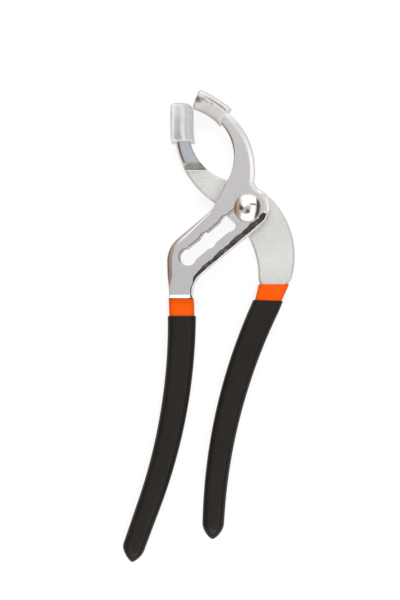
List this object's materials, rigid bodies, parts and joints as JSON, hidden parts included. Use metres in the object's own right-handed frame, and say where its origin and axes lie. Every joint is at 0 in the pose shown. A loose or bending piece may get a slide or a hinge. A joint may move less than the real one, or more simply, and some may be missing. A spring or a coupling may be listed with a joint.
{
  "type": "slip joint pliers",
  "caption": "Slip joint pliers with round capped jaws, a scalloped slot along which a domed pivot bolt slips to set the jaw opening, and long curved handles dipped in orange and black.",
  "frame": {"origin": "on the pivot axis, on the plane that the nut and the undersides of both grips lie on", "axes": "+Y from the handles to the jaws, +Z from the nut to the bolt head, which is the front of the picture, +X to the plain lever's handle"},
  "size_m": [0.0915, 0.25, 0.0182],
  "materials": {
    "polished_steel": "forged steel, plated and polished on its faces",
    "blasted_steel": "forged steel, blasted to a fine satin, polished at the jaw",
    "bolt_chrome": "bright chrome plate",
    "nut_steel": "zinc plate",
    "cap_vinyl": "frosted soft vinyl that lets some light through",
    "orange_dip": "smooth dipped vinyl",
    "black_dip": "matt dipped vinyl"
  },
  "bodies": {
    "slotted_half": {"slotted_lever": "polished_steel", "slotted_jaw_cap": "cap_vinyl", "slotted_inner_sleeve": "orange_dip", "slotted_grip": "black_dip"},
    "pivot": {"pivot_bolt": "bolt_chrome", "pivot_nut": "nut_steel"},
    "plain_half": {"plain_lever": "blasted_steel", "plain_jaw_cap": "cap_vinyl", "plain_inner_sleeve": "orange_dip", "plain_grip": "black_dip"}
  },
  "joints": [
    {"name": "slip", "type": "slide", "parent": "slotted_half", "child": "pivot", "axis": [-0.766, -0.6428, 0], "range_m": [0, 0.024]},
    {"name": "handle_hinge", "type": "hinge", "parent": "pivot", "child": "plain_half", "pos_m": [0, 0, 0], "axis": [0, 0, 1], "range_deg": [0, 50]}
  ]
}
